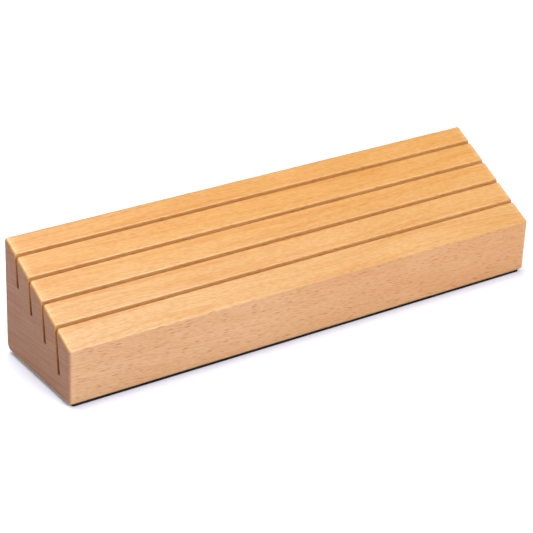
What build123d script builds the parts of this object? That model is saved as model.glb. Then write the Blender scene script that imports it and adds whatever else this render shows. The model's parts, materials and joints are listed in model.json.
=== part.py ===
"""Pick holder: a beech block with a sloping top and four saw slots, on a thin non-slip pad.

Millimetres, +Z up. The origin is on the surface that the holder stands on, under the middle
of the whole object. +X runs along the slots and +Y points at the tall back.
"""
import os
from math import radians, tan

from build123d import *

# Beech block
LENGTH = 220.0
DEPTH = 50.0
FRONT_HEIGHT = 22.8
BACK_HEIGHT = 48.7
EDGE_RADIUS = 1.2
HEEL_RADIUS = 3.0  # the bottom edge at the back is rounder than the rest

# Saw slots, open at the top and at both ends
SLOT_DEPTHS = (19.0, 16.2, 14.7, 13.2)  # straight down from the slope, front slot first
SLOT_WIDTH = 1.2
SLOT_PITCH = 10.15
FIRST_SLOT = 10.6  # from the front face to the middle of the first mouth
SLOT_LEAN = 7.0  # degrees; the mouth is further back than the bottom
MOUTH_RADIUS = 0.4

# Non-slip pad and the film that holds it
PAD_THICKNESS = 1.0
FILM_THICKNESS = 0.15
PAD_END_INSET = 1.5
PAD_FRONT_INSET = 0.8
PAD_BACK_INSET = HEEL_RADIUS  # the pad stops where the flat underside stops
PAD_CORNER_RADIUS = 1.0

SLOPE = (BACK_HEIGHT - FRONT_HEIGHT) / DEPTH
BLOCK_BASE = PAD_THICKNESS + FILM_THICKNESS
FRONT_Y = -DEPTH / 2
BACK_Y = DEPTH / 2
OVERRUN = 5.0  # how far the cutting tools run past the wood
BELOW = -OVERRUN
ABOVE = BLOCK_BASE + BACK_HEIGHT + OVERRUN
TOLERANCE = 0.01


def slope_height(from_front):
    """Height of the sloping top above the surface, at a distance behind the front face."""
    return BLOCK_BASE + FRONT_HEIGHT + SLOPE * from_front


def along_x(points, length):
    """A prism with its outline in the YZ plane, given as (y, z) points, centred on X."""
    outline = make_face(Polyline([(0, y, z) for y, z in points], close=True))
    return extrude(outline, amount=length / 2, dir=(1, 0, 0), both=True)


def wedge():
    """The block before it is slotted, with its edges rounded."""
    corners = [
        (FRONT_Y, BLOCK_BASE),
        (BACK_Y, BLOCK_BASE),
        (BACK_Y, BLOCK_BASE + BACK_HEIGHT),
        (FRONT_Y, BLOCK_BASE + FRONT_HEIGHT),
    ]
    blank = along_x(corners, LENGTH)
    heel = blank.edges().filter_by(Axis.X).group_by(Axis.Y)[-1].sort_by(Axis.Z)[0]
    blank = fillet(heel, HEEL_RADIUS)
    heel_round = blank.faces().filter_by(GeomType.CYLINDER)[0]
    return fillet(blank.edges() - heel_round.edges(), EDGE_RADIUS)


def slot_line(number, side, height):
    """The point (y, z) of a slot's wall at a height; side is -1 for its front wall, 1 for its back."""
    mouth = FIRST_SLOT + number * SLOT_PITCH
    below_mouth = slope_height(mouth) - height
    middle = FRONT_Y + mouth - below_mouth * tan(radians(SLOT_LEAN))
    return middle + side * SLOT_WIDTH / 2, height


def slot(number):
    """The wood that the saw takes out of one slot, counted from the front."""
    bottom = slope_height(FIRST_SLOT + number * SLOT_PITCH) - SLOT_DEPTHS[number]
    outline = [
        slot_line(number, -1, bottom),
        slot_line(number, 1, bottom),
        slot_line(number, 1, ABOVE),
        slot_line(number, -1, ABOVE),
    ]
    return along_x(outline, LENGTH + 2 * OVERRUN)


def is_mouth_edge(edge):
    """True for a long edge where a slot wall meets the sloping top."""
    middle = edge.center()
    from_front = middle.Y - FRONT_Y
    between_rounds = 2 * EDGE_RADIUS < from_front < DEPTH - 2 * EDGE_RADIUS
    return between_rounds and abs(middle.Z - slope_height(from_front)) < TOLERANCE


def slotted_block():
    """The whole wooden body, as the saw and the sander leave it."""
    body = wedge()
    for number in range(len(SLOT_DEPTHS)):
        body -= slot(number)
    mouths = body.edges().filter_by(Axis.X).filter_by(is_mouth_edge)
    return fillet(mouths, MOUTH_RADIUS)


def beech_block():
    """The wooden body, divided along the planes of its slot walls.

    The block is one piece of wood. Here it is a group of convex solids that touch face to face:
    the upright strips between the slots, and the wood left under each slot. A hull drawn
    round any one of them doesn't reach into a slot.
    """
    body = slotted_block()
    walls = [(number, side) for number in range(len(SLOT_DEPTHS)) for side in (-1, 1)]
    lines = [[slot_line(*wall, BELOW), slot_line(*wall, ABOVE)] for wall in walls]
    before_front = [(FRONT_Y - OVERRUN, BELOW), (FRONT_Y - OVERRUN, ABOVE)]
    behind_back = [(BACK_Y + OVERRUN, BELOW), (BACK_Y + OVERRUN, ABOVE)]
    lines = [before_front, *lines, behind_back]
    strips = []
    for (near_low, near_high), (far_low, far_high) in zip(lines, lines[1:]):
        band = along_x([near_low, far_low, far_high, near_high], LENGTH + 2 * OVERRUN)
        strips += (body & band).solids()
    return Compound(children=strips)


def sheet(bottom, thickness):
    """A thin sheet under the block, with rounded corners."""
    size_x = LENGTH - 2 * PAD_END_INSET
    size_y = DEPTH - PAD_FRONT_INSET - PAD_BACK_INSET
    middle_y = (PAD_FRONT_INSET - PAD_BACK_INSET) / 2
    outline = RectangleRounded(size_x, size_y, PAD_CORNER_RADIUS)
    return Pos(0, middle_y, bottom) * extrude(outline, amount=thickness)


def base_pad():
    """The black non-slip foam that the holder stands on."""
    return sheet(0, PAD_THICKNESS)


def pad_adhesive():
    """The double-sided film between the pad and the wood."""
    return sheet(PAD_THICKNESS, FILM_THICKNESS)


PARTS = {
    "beech_block": beech_block,
    "base_pad": base_pad,
    "pad_adhesive": pad_adhesive,
}

os.makedirs("parts", exist_ok=True)
for name, make in PARTS.items():
    solid = make()
    solid.label = name
    export_step(solid, f"parts/{name}.step")
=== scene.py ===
import json
from collections import namedtuple
from math import cos, pi, radians, sin, sqrt, tan

import bmesh
import bpy
from mathutils import Matrix, Quaternion, Vector, noise


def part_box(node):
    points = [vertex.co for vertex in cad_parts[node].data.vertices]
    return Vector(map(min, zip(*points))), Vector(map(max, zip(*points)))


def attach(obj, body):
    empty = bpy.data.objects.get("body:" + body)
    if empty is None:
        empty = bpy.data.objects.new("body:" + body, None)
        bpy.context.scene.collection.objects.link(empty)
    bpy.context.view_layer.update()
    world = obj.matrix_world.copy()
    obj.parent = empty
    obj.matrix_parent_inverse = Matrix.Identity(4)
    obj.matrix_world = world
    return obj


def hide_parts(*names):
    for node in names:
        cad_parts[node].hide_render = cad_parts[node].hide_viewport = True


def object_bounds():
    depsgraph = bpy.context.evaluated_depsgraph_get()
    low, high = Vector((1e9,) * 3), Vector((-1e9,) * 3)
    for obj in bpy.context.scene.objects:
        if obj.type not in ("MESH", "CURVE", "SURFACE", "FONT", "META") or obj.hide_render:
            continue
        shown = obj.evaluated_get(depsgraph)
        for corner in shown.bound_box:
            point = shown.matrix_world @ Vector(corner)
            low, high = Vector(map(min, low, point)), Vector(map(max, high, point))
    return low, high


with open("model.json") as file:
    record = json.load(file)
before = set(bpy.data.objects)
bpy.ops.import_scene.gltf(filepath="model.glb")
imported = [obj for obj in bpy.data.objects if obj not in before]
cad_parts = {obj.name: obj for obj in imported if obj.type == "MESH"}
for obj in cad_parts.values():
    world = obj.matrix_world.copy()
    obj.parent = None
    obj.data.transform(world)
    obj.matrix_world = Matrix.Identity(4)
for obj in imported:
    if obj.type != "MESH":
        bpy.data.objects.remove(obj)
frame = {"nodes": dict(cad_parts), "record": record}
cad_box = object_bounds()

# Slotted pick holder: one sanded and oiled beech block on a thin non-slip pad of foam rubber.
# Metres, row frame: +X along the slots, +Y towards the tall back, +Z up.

MM = 0.001

# Block, with the sizes that the part's source gives it
EDGE_RADIUS = 1.2 * MM
HEEL_RADIUS = 3.0 * MM  # the bottom edge at the back
SLOT_WIDTH = 1.2 * MM
SLOT_DEPTHS = [19.0 * MM, 16.2 * MM, 14.7 * MM, 13.2 * MM]  # front slot first

# Slot lips, which are finer here than in the part
NEAR_LIP_RADIUS = 0.3 * MM  # in front of each slot
FAR_LIP_RADIUS = 0.9 * MM  # behind it
END_LIP_GROWTH = 0.5 * MM  # how much rounder both are where they meet the rounded ends
FLARE_RADIUS = 0.4 * MM  # how the slots open where they come out at the ends
SHOULDER_DEPTH = 1.7 * MM  # painted light makes the top of a far wall lighter down to here

# How finely the block is divided, and how uneven the hand sanding is
ROUND_STEPS = 8
LIP_STEPS = 5
STATION_GAP = 2.2 * MM
SANDING_LENGTH = 14 * MM
SANDING_SHARE = 0.16

# How sawn a surface is, which also sets the slots' painted shade: outside, in the painted-lighter top
# of a far wall, in a wall, and at the darkest bottom
OUTSIDE = 0.0
# Painted light: the top of a far wall gets only a quarter of the walls' painted shade.
LIT_WALL_TOP = 0.25
WALL = 1.0
BOTTOM = 2.0

# How worn the middle of a round is, which also sets its painted highlight
EDGE_WEAR_AND_HIGHLIGHT = 0.35
LIP_WEAR_AND_HIGHLIGHT = 1.0
INNER_END_WEAR_AND_HIGHLIGHT = 0.6  # at the inner end of an end round, fading over the next station

# Pad
PAD_CORNER_RADIUS = 1.0 * MM
PAD_CORNER_STEPS = 8
PAD_EDGE_RADIUS = 0.22 * MM
PAD_EDGE_STEPS = 4
PAD_PINCH = 0.12 * MM  # how far the glued face is drawn in from the bulging edge

MERGE_DISTANCE = 1e-7
SHARP_ANGLE = radians(40)

# Camera, aimed at a point near the middle of the object
AIM_OFFSET = Vector((-5.5, 1.5, -4.3)) * MM
CAMERA_AZIMUTH = radians(35.48)  # from +Y towards +X, the way the camera looks
CAMERA_DROP = radians(27.07)  # how far below the level it looks
CAMERA_ROLL = radians(2.47)
CAMERA_DISTANCE = 0.7468
LENS_MM = 125.75
SENSOR_MM = 36.0

# Studio
SOFTBOXES = [  # name, place, width, watts, colour
    ("overhead", Vector((-0.08, 0.32, 1.05)), 0.8, 17.4, (1.0, 0.99, 0.95)),
    ("front", Vector((0.25, -0.97, 0.75)), 0.7, 15.5, (1.0, 1.0, 1.0)),
    ("left", Vector((-1.05, -0.2, 0.75)), 0.8, 5.2, (0.92, 0.95, 1.0)),
]
WORLD_COLOUR = (0.93, 0.94, 1.0, 1)
WORLD_STRENGTHS = (0.04, 1.05)  # as it lights the scene, and as the camera sees it
FLOOR_REACH = 1.1
FLOOR_COLOUR = (0.765, 0.79, 0.90, 1)
FLOOR_GLOW = 0.05
FLOOR_GLOW_COLOUR = (1, 1, 1, 1)
FLOOR_ROUGHNESS = 0.9
FLOOR_SPECULAR = 0.2

record = frame["record"]
block_low, block_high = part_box("beech_block")
pad_low, pad_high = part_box("base_pad")
mouths = [Vector(m["pos_m"]) for m in record["mounts"] if m["kind"] == "slide"]
slot_axis = Vector(next(m["axis"] for m in record["mounts"] if m["kind"] == "slide"))
SLOPE = (mouths[-1].z - mouths[0].z) / (mouths[-1].y - mouths[0].y)
LEAN = slot_axis.y / slot_axis.z


# ---------------------------------------------------------------- block

def rounded(before, corner, after, radius, steps):
    """Points of a round at a corner of an outline."""
    back = (before - corner).normalized()
    ahead = (after - corner).normalized()
    half = back.angle(ahead) / 2
    centre = corner + (back + ahead).normalized() * radius / sin(half)
    start = corner + back * radius / tan(half) - centre
    turn = (pi - 2 * half) * (1 if back.cross(ahead) < 0 else -1)
    return [centre + Matrix.Rotation(turn * k / steps, 2) @ start for k in range(steps + 1)]


# A corner's wear value also sets a painted highlight, and its sawn values painted shade in the slots.
Corner = namedtuple("Corner", "point radius steps wear sawn_before sawn_after")


def edge_corner(y, z, radius):
    """A rounded corner on the outside of the block."""
    return Corner(Vector((y, z)), radius, ROUND_STEPS, EDGE_WEAR_AND_HIGHLIGHT, OUTSIDE, OUTSIDE)


def slot_corners(mouth, depth, top, widening, growth):
    """The corners of one slot, from its near lip down to the bottom and up to its far lip."""
    bottom = mouth.z - depth
    middle = mouth.y - LEAN * mouth.z  # the slot's y, carried on down to height 0
    walls = [middle + side * (SLOT_WIDTH / 2 + widening) for side in (-1, 1)]
    near_y, far_y = [(wall + LEAN * top) / (1 - LEAN * SLOPE) for wall in walls]
    near_lip = Vector((near_y, top + SLOPE * near_y))
    far_lip = Vector((far_y, top + SLOPE * far_y))
    shoulder_z = far_lip.y - SHOULDER_DEPTH
    shoulder = Vector((walls[1] + LEAN * shoulder_z, shoulder_z))
    floors = [Vector((wall + LEAN * bottom, bottom)) for wall in walls]
    return [
        Corner(near_lip, NEAR_LIP_RADIUS + growth, LIP_STEPS, LIP_WEAR_AND_HIGHLIGHT, OUTSIDE, WALL),
        Corner(floors[0], None, 0, 0.0, BOTTOM, BOTTOM),
        Corner(floors[1], None, 0, 0.0, BOTTOM, BOTTOM),
        Corner(shoulder, None, 0, 0.0, WALL, WALL),
        Corner(far_lip, FAR_LIP_RADIUS + growth, LIP_STEPS, LIP_WEAR_AND_HIGHLIGHT, LIT_WALL_TOP, OUTSIDE),
    ]


def section_corners(inset, widening):
    """The corners of a section across the block: drawn in by inset, with each slot wall moved out."""
    front = block_low.y + inset
    back = block_high.y - inset
    base = block_low.z + inset
    top = mouths[0].z - SLOPE * mouths[0].y - inset * sqrt(1 + SLOPE * SLOPE)  # slope's height at y 0
    edge = EDGE_RADIUS - inset
    growth = END_LIP_GROWTH * inset / EDGE_RADIUS
    corners = [edge_corner(front, base, edge), edge_corner(front, top + SLOPE * front, edge)]
    for mouth, depth in zip(mouths, SLOT_DEPTHS):
        corners += slot_corners(mouth, depth, top, widening, growth)
    corners.append(edge_corner(back, top + SLOPE * back, edge))
    corners.append(edge_corner(back, base, HEEL_RADIUS - inset))
    return corners


def sanded(radius, x, number):
    """A round's radius at a place along the block, never less than the drawn one."""
    unevenness = noise.noise(Vector((x / SANDING_LENGTH, number, 0)))
    return radius * (1 + SANDING_SHARE * (0.5 + 0.5 * unevenness))


def section(x, inset, widening):
    """The block's outline at x, as (point, wear, sawn)."""
    corners = section_corners(inset, widening)
    outline = []
    for number, corner in enumerate(corners):
        if corner.radius is None:
            outline.append((corner.point, 0.0, corner.sawn_before))
            continue
        before = corners[number - 1].point
        after = corners[(number + 1) % len(corners)].point
        radius = sanded(corner.radius, x, number)
        for k, point in enumerate(rounded(before, corner.point, after, radius, corner.steps)):
            share = k / corner.steps
            sawn = corner.sawn_before * (1 - share) ** 2 + corner.sawn_after * share ** 2
            outline.append((point, corner.wear * sin(pi * share), sawn))
    return outline


def stations():
    """(x, inset, widening, wear) along the block: close together round the ends, even between."""
    end = block_high.x
    rounds = []
    for k in range(ROUND_STEPS + 1):
        angle = pi / 2 * k / ROUND_STEPS
        from_end = EDGE_RADIUS * (1 - cos(angle))
        inset = EDGE_RADIUS * (1 - sin(angle))
        short = max(FLARE_RADIUS - from_end, 0)
        widening = FLARE_RADIUS - sqrt(FLARE_RADIUS ** 2 - short ** 2)
        crest = sin(2 * angle)
        wear = crest if angle < pi / 4 else INNER_END_WEAR_AND_HIGHLIGHT + (1 - INNER_END_WEAR_AND_HIGHLIGHT) * crest
        rounds.append((end - from_end, inset, widening, wear))
    middle = end - EDGE_RADIUS
    count = round(2 * middle / STATION_GAP)
    between = [(middle - 2 * middle * k / count, 0.0, 0.0, 0.0) for k in range(1, count)]
    far = [(-x, inset, widening, wear) for x, inset, widening, wear in reversed(rounds)]
    return rounds + between + far


def loft(name, rings):
    """A closed mesh through rings of equal numbers of (point, wear, sawn)."""
    mesh_maker = bmesh.new()
    wear_and_highlight_layer = mesh_maker.verts.layers.float.new("wear")
    sawn_and_shade_layer = mesh_maker.verts.layers.float.new("sawn")
    corners = []
    for ring in rings:
        row = []
        for point, wear, sawn in ring:
            vertex = mesh_maker.verts.new(point)
            vertex[wear_and_highlight_layer] = wear
            vertex[sawn_and_shade_layer] = sawn
            row.append(vertex)
        corners.append(row)
    for near, far in zip(corners, corners[1:]):
        for k in range(len(near)):
            mesh_maker.faces.new((near[k - 1], near[k], far[k], far[k - 1]))
    mesh_maker.faces.new(corners[0])
    mesh_maker.faces.new(corners[-1])
    bmesh.ops.remove_doubles(mesh_maker, verts=mesh_maker.verts, dist=MERGE_DISTANCE)
    bmesh.ops.recalc_face_normals(mesh_maker, faces=mesh_maker.faces)
    mesh = bpy.data.meshes.new(name)
    mesh_maker.to_mesh(mesh)
    mesh_maker.free()
    mesh.polygons.foreach_set("use_smooth", [True] * len(mesh.polygons))
    mesh.set_sharp_from_angle(angle=SHARP_ANGLE)
    piece = bpy.data.objects.new(name, mesh)
    bpy.context.scene.collection.objects.link(piece)
    weighted = piece.modifiers.new("flat faces stay flat", "WEIGHTED_NORMAL")
    weighted.keep_sharp = True
    return piece


def beech_body():
    """The wooden block as one seamless skin, slots and all."""
    rings = []
    for x, inset, widening, end_wear_and_highlight in stations():
        kept = 0.0 if inset == EDGE_RADIUS else 1.0  # the flat ends get neither a painted highlight nor the slots' painted shade
        ring = []
        for point, wear, sawn in section(x, inset, widening):
            outer_wear_and_highlight = end_wear_and_highlight if sawn < WALL else 0.0
            ring.append((Vector((x, point.x, point.y)), kept * max(wear, outer_wear_and_highlight), kept * sawn))
        rings.append(ring)
    return loft("beech_body", rings)


# ---------------------------------------------------------------- pad

def pad_ring(z, inset):
    """The pad's outline at a height, drawn in by inset."""
    corners = [
        Vector((pad_low.x + inset, pad_low.y + inset)),
        Vector((pad_high.x - inset, pad_low.y + inset)),
        Vector((pad_high.x - inset, pad_high.y - inset)),
        Vector((pad_low.x + inset, pad_high.y - inset)),
    ]
    ring = []
    for k, corner in enumerate(corners):
        after = corners[(k + 1) % len(corners)]
        ring += rounded(corners[k - 1], corner, after, PAD_CORNER_RADIUS - inset, PAD_CORNER_STEPS)
    return [(Vector((p.x, p.y, z)), 0.0, 0.0) for p in ring]


def foam_pad():
    """The die-cut foam sheet: a soft lower edge, and a side that bulges a little under the block."""
    rings = []
    for k in range(PAD_EDGE_STEPS + 1):
        angle = pi / 2 * k / PAD_EDGE_STEPS
        height = pad_low.z + PAD_EDGE_RADIUS * (1 - cos(angle))
        rings.append(pad_ring(height, PAD_EDGE_RADIUS * (1 - sin(angle))))
    side_low = pad_low.z + PAD_EDGE_RADIUS
    for k in range(1, PAD_EDGE_STEPS + 1):
        share = k / PAD_EDGE_STEPS
        rings.append(pad_ring(side_low + (pad_high.z - side_low) * share, PAD_PINCH * share ** 2))
    return loft("foam_pad", rings)


# ---------------------------------------------------------------- materials

def new_material(name):
    """(material, its node tree, its Principled shader)."""
    material = bpy.data.materials.new(name)
    material.use_nodes = True
    tree = material.node_tree
    return material, tree, tree.nodes["Principled BSDF"]


def add(tree, kind, inputs=(), **settings):
    """A new node; inputs pairs sockets, by name or number, with values or with other nodes' outputs."""
    made = tree.nodes.new(kind)
    for name, value in settings.items():
        setattr(made, name, value)
    for name, value in dict(inputs).items():
        if isinstance(value, bpy.types.NodeSocket):
            tree.links.new(value, made.inputs[name])
        else:
            made.inputs[name].default_value = value
    return made


def maths(tree, operation, *values):
    """The result of one Math node."""
    return add(tree, "ShaderNodeMath", dict(enumerate(values)), operation=operation).outputs[0]


def object_place(tree):
    """The place on the object, in metres."""
    return add(tree, "ShaderNodeTexCoord").outputs["Object"]


def in_cells(tree, place, size):
    """The place, measured in cells of that size along X, Y and Z."""
    return add(tree, "ShaderNodeVectorMath", {0: place, 1: size}, operation="DIVIDE").outputs[0]


def cloud(tree, place, size, detail=2.0, roughness=0.5):
    """Noise from 0 to 1 with features of that size."""
    cells = in_cells(tree, place, size)
    inputs = {"Vector": cells, "Scale": 1.0, "Detail": detail, "Roughness": roughness}
    return add(tree, "ShaderNodeTexNoise", inputs).outputs["Fac"]


def ramp(tree, value, span, results=(0.0, 1.0)):
    """A smooth step from the first result to the second, as the value crosses the span."""
    inputs = {"Value": value, 1: span[0], 2: span[1], 3: results[0], 4: results[1]}
    made = add(tree, "ShaderNodeMapRange", inputs, interpolation_type="SMOOTHSTEP")
    return made.outputs["Result"]


def mix(tree, share, first, second, blend="MIX"):
    """Two colours mixed; sockets 6 and 7 are the node's colour ones."""
    inputs = {"Factor": share, 6: first, 7: second}
    made = add(tree, "ShaderNodeMix", inputs, data_type="RGBA", blend_type=blend)
    return made.outputs[2]


def bump(tree, height, depth, strength=1.0):
    """The normal of a surface with that height map; depth is in metres."""
    inputs = {"Height": height, "Distance": depth, "Strength": strength}
    return add(tree, "ShaderNodeBump", inputs).outputs["Normal"]


BEECH_PAINTED_SHEEN = (0.520, 0.339, 0.184, 1)  # front left of the plank: paler, a painted sheen
BEECH_DEEP = (0.490, 0.262, 0.088, 1)  # back right of the plank, without the painted sheen
ROSE_TINT = (1.02, 0.92, 0.86, 1)  # the tangential face is pinker
BEECH_RIM_SHADE = (0.500, 0.255, 0.080, 1)  # painted shade where the rounds turn into end grain
BEECH_END = (0.322, 0.151, 0.075, 1)  # end grain
BEECH_SAWN_SHADE = (0.510, 0.225, 0.052, 1)  # saw-cut walls, darker and more orange as painted shade in the slots
BEECH_PAINTED_HIGHLIGHT = (0.640, 0.415, 0.200, 1)  # painted highlight on the rounds, which the sander has polished
RING_TINT = (0.95, 0.83, 0.66, 1)
STREAK_TINT = (0.90, 0.81, 0.68, 1)
BLOTCH_TINT = (0.97, 0.93, 0.87, 1)
FLECK_TINT = (0.76, 0.50, 0.31, 1)
SLOT_BOTTOM_SHADE_TINT = (0.53, 0.36, 0.17, 1)  # painted shade, darkest at the bottoms of the slots
PORE_TINT = (0.86, 0.76, 0.64, 1)

# The plank: how its grain lies, and where a painted sheen makes it paler
GRAIN_TILT = (radians(6), radians(-3.5), 0)
DRIFT_SIZE = (130 * MM, 70 * MM, 45 * MM)
DRIFT_REACH = (0.0, 16 * MM, 3 * MM)
SHEEN_SPAN_X = (-130 * MM, 110 * MM)
SHEEN_SHARES_X = (1.0, 0.4)
SHEEN_SPAN_Y = (-28 * MM, 14 * MM)
SHEEN_SHARES_Y = (1.0, 0.0)

# Sizes of what shows in the grain
RING_SIZE = (200 * MM, 3.4 * MM, 60 * MM)
RING_WIDTH = 0.055  # as a share of the noise's range
RAY_SIZE = (2.6 * MM, 1.0 * MM, 0.26 * MM)
FIBRE_SIZE = (16 * MM, 0.42 * MM, 0.42 * MM)
BLOTCH_SIZE = (60 * MM, 16 * MM, 14 * MM)
END_LINE_SIZE = (6 * MM, 20 * MM, 0.5 * MM)
FLECK_LAYERS = [  # cell size, seed offset
    ((6.0 * MM, 22 * MM, 0.92 * MM), 0.0),
    ((4.2 * MM, 15 * MM, 0.70 * MM), 0.37),
    ((2.9 * MM, 11 * MM, 0.54 * MM), 0.71),
]
FLECK_REACH = (0.10, 0.34)  # from a ray's middle to its edge, in cells
FLECK_TONES = (0.20, 0.95)
FLECK_STRENGTHS = (0.28, 1.0)

# Noise levels between which a feature comes in
BLOTCH_LEVELS = (0.35, 0.65)
STREAK_LEVELS = (1.12, 0.82)  # of rays and fibres added together
END_LINE_LEVELS = (0.60, 0.38)

# How far a face turns, as the square of its normal's X or Y, before a feature comes in
ROSE_SPAN = (0.3, 0.95)
END_SPAN = (0.80, 0.99)
RIM_SHADE_SPAN = (0.25, 0.60)
UPRIGHT_EDGE_SHADE_SPAN = (0.03, 0.55)
RING_SPAN = (0.3, 0.9)
END_LINE_SPAN = (0.6, 0.95)
FLECK_SPAN = (0.2, 0.9)

# How far a face looks up or down, as its normal's Z
UP_SPAN = (0.2, 0.5)
HIGHLIGHT_UP_SPAN = (0.0, 0.4)

# How strong each feature is over those spans
HIGHLIGHT_SHARES = (0.15, 0.6)
UPRIGHT_SHADE_SHARES = (0.8, 0.0)
SAWN_SHADE_SHARES = (0.0, 0.9)
RING_SHARES = (0.9, 0.45)
RING_LOSS = 0.75  # on a tangential face
FLECK_SHARES = (0.12, 0.95)

# Gloss and relief
GLOSS_LEVELS = (0.25, 0.75)
GLOSS_ROUGHNESS = (0.44, 0.33)
SAWN_ROUGHNESS = (0.0, 0.3)
END_ROUGHNESS = 0.2
WEAR_POLISH = 0.12
FLECK_RELIEF = 0.5
BEECH_RELIEF = 0.02 * MM
BEECH_RELIEF_STRENGTH = 0.6
BEECH_IOR = 1.47

Surface = namedtuple(
    "Surface", "place along facing tangential end_grain wear sawn rays fibres flecks"
)


def fibre_place(tree):
    """The place in the plank: X runs along the fibres, Y across the rings, with their slow wander."""
    place = object_place(tree)
    inputs = {"Vector": place, "Rotation": GRAIN_TILT}
    tilted = add(tree, "ShaderNodeVectorRotate", inputs, rotation_type="EULER_XYZ").outputs[0]
    cells = in_cells(tree, tilted, DRIFT_SIZE)
    inputs = {"Vector": cells, "Scale": 1.0, "Detail": 1.0}
    wander = add(tree, "ShaderNodeTexNoise", inputs).outputs["Color"]
    inputs = {0: wander, 1: (-0.5, -0.5, -0.5)}
    centred = add(tree, "ShaderNodeVectorMath", inputs, operation="ADD").outputs[0]
    inputs = {0: centred, 1: DRIFT_REACH, 2: tilted}
    return add(tree, "ShaderNodeVectorMath", inputs, operation="MULTIPLY_ADD").outputs[0]


def fleck_layer(tree, place, size, offset):
    """Spindle-shaped rays: 1 in the middle of each, 0 between them, and some fainter than others."""
    moved = add(tree, "ShaderNodeVectorMath", {0: place, 1: (offset,) * 3}, operation="ADD").outputs[0]
    cells = in_cells(tree, moved, size)
    rays = add(tree, "ShaderNodeTexVoronoi", {"Vector": cells, "Scale": 1.0}, feature="F1")
    tone = add(tree, "ShaderNodeSeparateColor", {0: rays.outputs["Color"]}).outputs[0]
    shape = ramp(tree, rays.outputs["Distance"], FLECK_REACH, (1.0, 0.0))
    return maths(tree, "MULTIPLY", shape, ramp(tree, tone, FLECK_TONES, FLECK_STRENGTHS))


def beech_surface(tree):
    """What the beech's colour and gloss depend on at each point."""
    place = fibre_place(tree)
    normal = add(tree, "ShaderNodeNewGeometry").outputs["True Normal"]
    facing = add(tree, "ShaderNodeSeparateXYZ", {0: normal}).outputs
    layers = [fleck_layer(tree, place, size, offset) for size, offset in FLECK_LAYERS]
    return Surface(
        place=place,
        along=add(tree, "ShaderNodeSeparateXYZ", {0: object_place(tree)}).outputs,
        facing=facing,
        tangential=maths(tree, "MULTIPLY", facing["Y"], facing["Y"]),
        end_grain=maths(tree, "MULTIPLY", facing["X"], facing["X"]),
        wear=add(tree, "ShaderNodeAttribute", attribute_name="wear").outputs["Fac"],
        sawn=add(tree, "ShaderNodeAttribute", attribute_name="sawn").outputs["Fac"],
        rays=cloud(tree, place, RAY_SIZE),
        fibres=cloud(tree, place, FIBRE_SIZE, detail=4.0, roughness=0.65),
        flecks=maths(tree, "MAXIMUM", *layers),
    )


def plank_colour(tree, surface):
    """The wood before the worn rounds, cuts and figure: deep at the back right, paler towards the front
    left as a painted sheen.
    """
    sheen_x = ramp(tree, surface.along["X"], SHEEN_SPAN_X, SHEEN_SHARES_X)
    sheen_y = ramp(tree, surface.along["Y"], SHEEN_SPAN_Y, SHEEN_SHARES_Y)
    # Painted sheen: the colour pales towards the front left.
    wood = mix(tree, maths(tree, "MULTIPLY", sheen_x, sheen_y), BEECH_DEEP, BEECH_PAINTED_SHEEN)
    return mix(tree, ramp(tree, surface.tangential, ROSE_SPAN), wood, ROSE_TINT, "MULTIPLY")


def with_edges(tree, surface, wood):
    """Adds a painted highlight on the worn rounds, a painted-shade rim, and the end grain, which as
    partly painted shade reaches further round an upright edge.
    """
    # Painted highlight: the worn rounds turn paler, most where they face up.
    highlight_share = ramp(tree, surface.facing["Z"], HIGHLIGHT_UP_SPAN, HIGHLIGHT_SHARES)
    wood = mix(tree, maths(tree, "MULTIPLY", surface.wear, highlight_share), wood, BEECH_PAINTED_HIGHLIGHT)
    # Painted shade: an orange rim where upward-facing rounds turn towards the end grain.
    rim_shade_turn = ramp(tree, surface.end_grain, RIM_SHADE_SPAN)
    rim_shade = maths(tree, "MULTIPLY", rim_shade_turn, ramp(tree, surface.facing["Z"], UP_SPAN))
    wood = mix(tree, rim_shade, wood, BEECH_RIM_SHADE)
    # Partly end grain, partly painted shade: on upright faces the end colour spreads further round the
    # edge.
    steepness = maths(tree, "ABSOLUTE", surface.facing["Z"])
    upright = ramp(tree, steepness, UP_SPAN, UPRIGHT_SHADE_SHARES)
    edge_shade_turn = ramp(tree, surface.end_grain, UPRIGHT_EDGE_SHADE_SPAN)
    upright_edge_shade = maths(tree, "MULTIPLY", edge_shade_turn, upright)
    end_grain_and_shade = maths(tree, "MAXIMUM", ramp(tree, surface.end_grain, END_SPAN), upright_edge_shade)
    return mix(tree, end_grain_and_shade, wood, BEECH_END)


def with_slots(tree, surface, wood):
    """Adds painted shade in the saw cuts: darker walls, lighter at the top of each far wall, darker
    still at their bottoms.
    """
    # Painted shade: the slot walls take a darker, more orange colour.
    wood = mix(tree, ramp(tree, surface.sawn, (OUTSIDE, WALL), SAWN_SHADE_SHARES), wood, BEECH_SAWN_SHADE)
    # Painted shade: the bottoms of the slots are darkened.
    return mix(tree, ramp(tree, surface.sawn, (WALL, BOTTOM)), wood, SLOT_BOTTOM_SHADE_TINT, "MULTIPLY")


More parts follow.
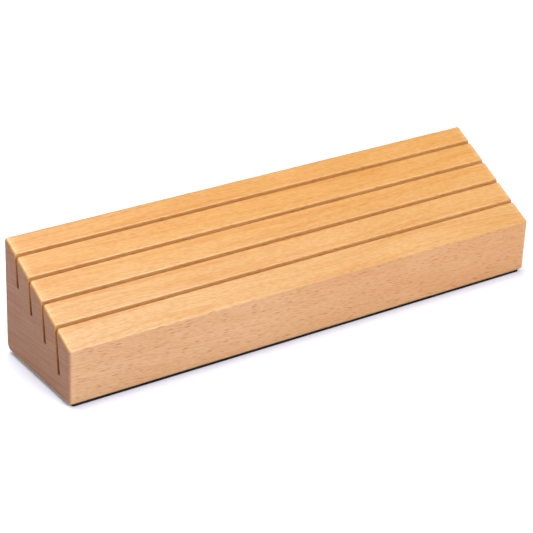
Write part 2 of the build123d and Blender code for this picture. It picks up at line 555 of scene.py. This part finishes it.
def with_rings(tree, surface, wood):
    """Adds the growth rings, and the fine lines that end grain shows."""
    noise_level = cloud(tree, surface.place, RING_SIZE, detail=1.0)
    from_level = maths(tree, "ABSOLUTE", maths(tree, "SUBTRACT", noise_level, 0.5))
    rings = ramp(tree, from_level, (0.0, RING_WIDTH), (1.0, 0.0))
    most = ramp(tree, surface.end_grain, RING_SPAN, RING_SHARES)
    lost = maths(tree, "MULTIPLY", surface.tangential, RING_LOSS)
    ring_share = maths(tree, "SUBTRACT", most, lost)
    wood = mix(tree, maths(tree, "MULTIPLY", rings, ring_share), wood, RING_TINT, "MULTIPLY")
    line_noise = cloud(tree, surface.place, END_LINE_SIZE, detail=3.0, roughness=0.6)
    end_lines = ramp(tree, line_noise, END_LINE_LEVELS)
    line_share = maths(tree, "MULTIPLY", end_lines, ramp(tree, surface.end_grain, END_LINE_SPAN))
    return mix(tree, line_share, wood, PORE_TINT, "MULTIPLY")


def with_figure(tree, surface, wood):
    """Adds the soft blotches, the fibre streaks and the ray flecks."""
    blotches = ramp(tree, cloud(tree, surface.place, BLOTCH_SIZE), BLOTCH_LEVELS)
    wood = mix(tree, blotches, wood, BLOTCH_TINT, "MULTIPLY")
    streaks = ramp(tree, maths(tree, "ADD", surface.rays, surface.fibres), STREAK_LEVELS)
    wood = mix(tree, streaks, wood, STREAK_TINT, "MULTIPLY")
    shown = ramp(tree, surface.tangential, FLECK_SPAN, FLECK_SHARES)
    fleck_share = maths(tree, "MULTIPLY", surface.flecks, shown)
    return mix(tree, fleck_share, wood, FLECK_TINT, "MULTIPLY")


def beech_roughness(tree, surface):
    """Glossiest along the fibres and on worn rounds, dullest in the saw cuts and on end grain."""
    gloss = ramp(tree, surface.fibres, GLOSS_LEVELS, GLOSS_ROUGHNESS)
    cut = ramp(tree, surface.sawn, (OUTSIDE, WALL), SAWN_ROUGHNESS)
    roughness = maths(tree, "ADD", gloss, cut)
    roughness = maths(tree, "MULTIPLY_ADD", surface.end_grain, END_ROUGHNESS, roughness)
    return maths(tree, "SUBTRACT", roughness, maths(tree, "MULTIPLY", surface.wear, WEAR_POLISH))


def beech_normal(tree, surface):
    """The fine relief of rays and fibres, with the flecks a little sunk."""
    raised = maths(tree, "ADD", surface.rays, surface.fibres)
    sunk = maths(tree, "MULTIPLY", surface.flecks, FLECK_RELIEF)
    relief = maths(tree, "SUBTRACT", raised, sunk)
    return bump(tree, relief, BEECH_RELIEF, BEECH_RELIEF_STRENGTH)


def beech_material():
    """Oiled beech as one solid texture: rings, rays and fibres that run through every face."""
    material, tree, shader = new_material("oiled_beech")
    surface = beech_surface(tree)
    wood = plank_colour(tree, surface)
    for layer in (with_edges, with_slots, with_rings, with_figure):
        wood = layer(tree, surface, wood)
    tree.links.new(wood, shader.inputs["Base Color"])
    tree.links.new(beech_roughness(tree, surface), shader.inputs["Roughness"])
    tree.links.new(beech_normal(tree, surface), shader.inputs["Normal"])
    shader.inputs["IOR"].default_value = BEECH_IOR
    return material


FOAM_CELL = (0.28 * MM,) * 3
FOAM_DUST_SIZE = (9 * MM,) * 3
FOAM_DUST_LEVELS = (0.35, 0.75)
FOAM_BLACK = (0.006, 0.005, 0.004, 1)
FOAM_DUSTY = (0.014, 0.012, 0.010, 1)
FOAM_CELL_SPAN = (0.0, 0.6)
FOAM_ROUGHNESS = (0.95, 0.78)
FOAM_RELIEF = 0.05 * MM
FOAM_RELIEF_STRENGTH = 0.7
FOAM_SPECULAR = 0.12


def foam_material():
    """Matt black foam rubber with fine closed cells."""
    material, tree, shader = new_material("foam_rubber")
    place = object_place(tree)
    cells = in_cells(tree, place, FOAM_CELL)
    inputs = {"Vector": cells, "Scale": 1.0}
    bubbles = add(tree, "ShaderNodeTexVoronoi", inputs).outputs["Distance"]
    dust = cloud(tree, place, FOAM_DUST_SIZE, detail=4.0, roughness=0.6)
    black = mix(tree, ramp(tree, dust, FOAM_DUST_LEVELS), FOAM_BLACK, FOAM_DUSTY)
    roughness = ramp(tree, bubbles, FOAM_CELL_SPAN, FOAM_ROUGHNESS)
    normal = bump(tree, bubbles, FOAM_RELIEF, FOAM_RELIEF_STRENGTH)
    tree.links.new(black, shader.inputs["Base Color"])
    tree.links.new(roughness, shader.inputs["Roughness"])
    tree.links.new(normal, shader.inputs["Normal"])
    shader.inputs["Specular IOR Level"].default_value = FOAM_SPECULAR
    return material


FILM_STREAK_SIZE = (20 * MM, 3 * MM, 3 * MM)
FILM_DARK = (0.022, 0.019, 0.015, 1)
FILM_PALE = (0.045, 0.040, 0.033, 1)
FILM_LEVELS = (0.3, 0.7)
FILM_ROUGHNESS = (0.30, 0.48)
FILM_RELIEF = 0.01 * MM
FILM_RELIEF_STRENGTH = 0.5


def film_material():
    """Thin double-sided film, dark where the foam shows through, uneven where it was rolled on."""
    material, tree, shader = new_material("adhesive_film")
    place = object_place(tree)
    streaks = cloud(tree, place, FILM_STREAK_SIZE, detail=3.0, roughness=0.6)
    roughness = ramp(tree, streaks, FILM_LEVELS, FILM_ROUGHNESS)
    normal = bump(tree, streaks, FILM_RELIEF, FILM_RELIEF_STRENGTH)
    tree.links.new(mix(tree, streaks, FILM_DARK, FILM_PALE), shader.inputs["Base Color"])
    tree.links.new(roughness, shader.inputs["Roughness"])
    tree.links.new(normal, shader.inputs["Normal"])
    return material


def floor_material():
    """Plain pale studio floor."""
    material, _, shader = new_material("studio_floor")
    shader.inputs["Base Color"].default_value = FLOOR_COLOUR
    shader.inputs["Emission Color"].default_value = FLOOR_GLOW_COLOUR
    shader.inputs["Emission Strength"].default_value = FLOOR_GLOW
    shader.inputs["Roughness"].default_value = FLOOR_ROUGHNESS
    shader.inputs["Specular IOR Level"].default_value = FLOOR_SPECULAR
    return material


def dress(piece, material):
    """Gives a piece one material."""
    piece.data.materials.clear()
    piece.data.materials.append(material)
    return piece


# ---------------------------------------------------------------- studio

def add_camera(middle):
    """The camera, which looks down at the front from the left."""
    data = bpy.data.cameras.new("camera")
    data.lens = LENS_MM
    data.sensor_width = SENSOR_MM
    level = cos(CAMERA_DROP)
    looks = Vector((sin(CAMERA_AZIMUTH) * level, cos(CAMERA_AZIMUTH) * level, -sin(CAMERA_DROP)))
    camera = bpy.data.objects.new("camera", data)
    camera.rotation_mode = "QUATERNION"
    camera.location = middle + AIM_OFFSET - looks * CAMERA_DISTANCE
    camera.rotation_quaternion = looks.to_track_quat("-Z", "Y") @ Quaternion((0, 0, 1), CAMERA_ROLL)
    bpy.context.scene.collection.objects.link(camera)
    bpy.context.scene.camera = camera


def add_softbox(name, place, target, width, watts, colour):
    """A soft square light that faces the target."""
    data = bpy.data.lights.new(name, "AREA")
    data.shape = "SQUARE"
    data.size = width
    data.energy = watts
    data.color = colour
    lamp = bpy.data.objects.new(name, data)
    lamp.location = place
    lamp.rotation_mode = "QUATERNION"
    lamp.rotation_quaternion = (target - lamp.location).to_track_quat("-Z", "Y")
    bpy.context.scene.collection.objects.link(lamp)


def add_world():
    """A white surround, which lights the shadows far less than it shows."""
    world = bpy.data.worlds.new("studio")
    world.use_nodes = True
    tree = world.node_tree
    background = tree.nodes["Background"]
    background.inputs["Color"].default_value = WORLD_COLOUR
    seen = add(tree, "ShaderNodeLightPath").outputs["Is Camera Ray"]
    tree.links.new(ramp(tree, seen, (0.0, 1.0), WORLD_STRENGTHS), background.inputs["Strength"])
    bpy.context.scene.world = world


def add_floor():
    """A level floor under the object."""
    mesh = bpy.data.meshes.new("studio_floor")
    corners = [(-1, -1), (1, -1), (1, 1), (-1, 1)]
    points = [(x * FLOOR_REACH, y * FLOOR_REACH, 0.0) for x, y in corners]
    mesh.from_pydata(points, [], [(0, 1, 2, 3)])
    floor = bpy.data.objects.new("studio_floor", mesh)
    bpy.context.scene.collection.objects.link(floor)
    dress(floor, floor_material())


object_middle = (cad_box[0] + cad_box[1]) / 2
body = dress(beech_body(), beech_material())
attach(body, "root")
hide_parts("beech_block")

pad = dress(foam_pad(), foam_material())
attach(pad, "root")
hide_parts("base_pad")

film = dress(frame["nodes"]["pad_adhesive"], film_material())

add_floor()
add_world()
for name, place, width, watts, colour in SOFTBOXES:
    add_softbox(name, place, object_middle, width, watts, colour)
add_camera(object_middle)
bpy.context.scene.view_settings.view_transform = "Standard"
